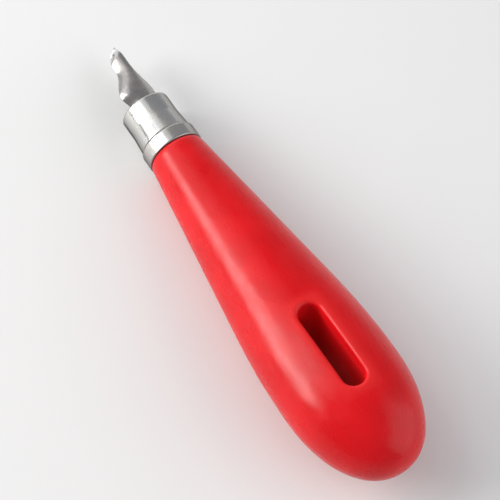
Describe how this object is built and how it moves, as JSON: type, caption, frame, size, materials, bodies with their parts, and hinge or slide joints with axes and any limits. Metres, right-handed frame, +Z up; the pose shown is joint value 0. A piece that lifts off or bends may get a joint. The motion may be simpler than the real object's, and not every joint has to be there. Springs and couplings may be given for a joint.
{
  "type": "lino cutter",
  "caption": "Hand tool for cutting lino: a pear-shaped grip with a hanging slot, a collar, a sliding split sleeve and a pressed steel gouge nib.",
  "frame": {"origin": "on the table under the middle of the tool, which lies on its belly and on its front edge with the slot facing up", "axes": "+X towards the nib, +Z up, +Y to the left of the tool as it points away"},
  "size_m": [0.0994, 0.0234, 0.021],
  "materials": {
    "red_plastic": "glossy moulded",
    "plated_collar": "bright nickel plate",
    "peg_steel": "turned",
    "spring_steel": "rolled strip",
    "plated_sleeve": "bright nickel plate",
    "nib_steel": "hardened and ground"
  },
  "bodies": {
    "grip": {"handle_body": "red_plastic", "nose_bush": "plated_collar", "core_peg": "peg_steel"},
    "sleeve": {"ferrule": "plated_sleeve"},
    "nib": {"nib": "nib_steel"},
    "half_ring": {"half_ring": "spring_steel"}
  },
  "joints": [
    {"name": "sleeve_slide", "type": "slide", "parent": "grip", "child": "sleeve", "axis": [0.9959, 0, -0.0906], "range_m": [0, 0.02]},
    {"name": "nib_slide", "type": "slide", "parent": "sleeve", "child": "nib", "axis": [0.9959, 0, -0.0906], "range_m": [0, 0.011]},
    {"name": "half_ring_slide", "type": "slide", "parent": "sleeve", "child": "half_ring", "axis": [0.9959, 0, -0.0906], "range_m": [0, 0.013]}
  ]
}
